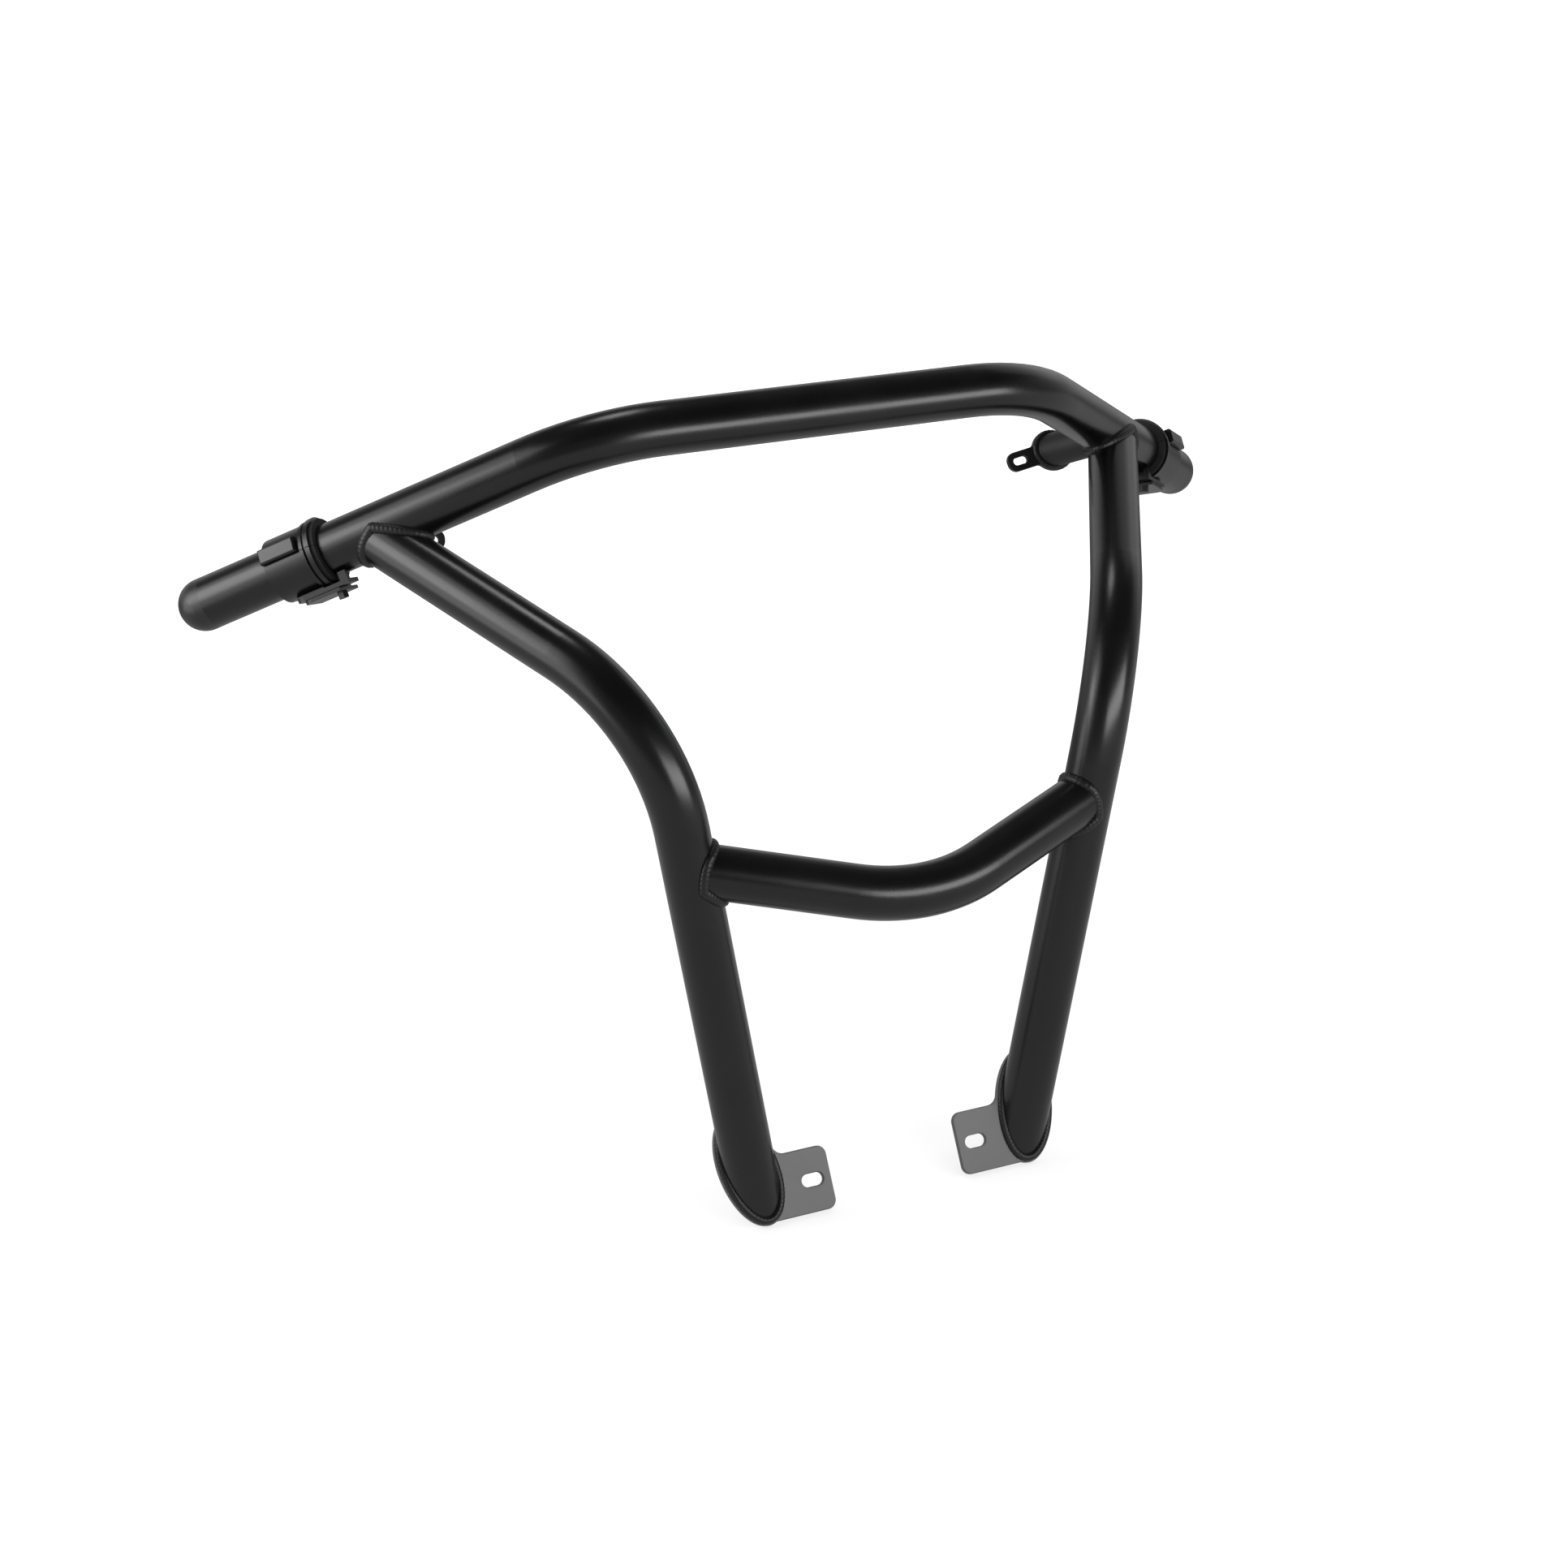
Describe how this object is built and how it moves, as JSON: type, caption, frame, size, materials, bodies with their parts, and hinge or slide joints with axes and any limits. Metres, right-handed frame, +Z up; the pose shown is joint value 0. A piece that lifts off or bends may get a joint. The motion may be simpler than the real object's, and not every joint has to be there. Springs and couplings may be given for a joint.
{
  "type": "utv rear bumper",
  "caption": "Welded tube rear bumper for a side-by-side vehicle: swept top tube, bent uprights, bowed cross tube, slotted feet, split clamps and domed end caps.",
  "frame": {"origin": "midway between the bolt slots of the two feet, on the feet's rear faces", "axes": "+X right seen from behind the vehicle, +Y forward to the vehicle, +Z up"},
  "size_m": [0.9828, 0.4388, 0.6696],
  "materials": {
    "tube_paint": "satin black powder coat",
    "plate_paint": "satin black powder coat on laser-cut plate",
    "weld_paint": "satin black powder coat over weld beads",
    "clamp_coat": "fine-textured matt black coat",
    "cap_plastic": "matt black moulded plastic",
    "liner_rubber": "dull black rubber",
    "screw_steel": "black-coated steel"
  },
  "bodies": {
    "root": {"top_tube": "tube_paint", "cross_tube": "tube_paint", "left_upright": "tube_paint", "left_foot_plate": "plate_paint", "left_bracket_stub": "tube_paint", "left_bracket_plate": "plate_paint", "left_end_cap": "cap_plastic", "left_clamp_front_half": "clamp_coat", "left_clamp_rear_half": "clamp_coat", "left_clamp_liner": "liner_rubber", "left_clamp_screw": "screw_steel", "left_upright_weld": "weld_paint", "left_cross_weld": "weld_paint", "left_foot_weld": "weld_paint", "left_stub_weld": "weld_paint", "left_bracket_weld": "weld_paint", "right_upright": "tube_paint", "right_foot_plate": "plate_paint", "right_bracket_stub": "tube_paint", "right_bracket_plate": "plate_paint", "right_end_cap": "cap_plastic", "right_clamp_front_half": "clamp_coat", "right_clamp_rear_half": "clamp_coat", "right_clamp_liner": "liner_rubber", "right_clamp_screw": "screw_steel", "right_upright_weld": "weld_paint", "right_cross_weld": "weld_paint", "right_foot_weld": "weld_paint", "right_stub_weld": "weld_paint", "right_bracket_weld": "weld_paint"}
  },
  "joints": []
}
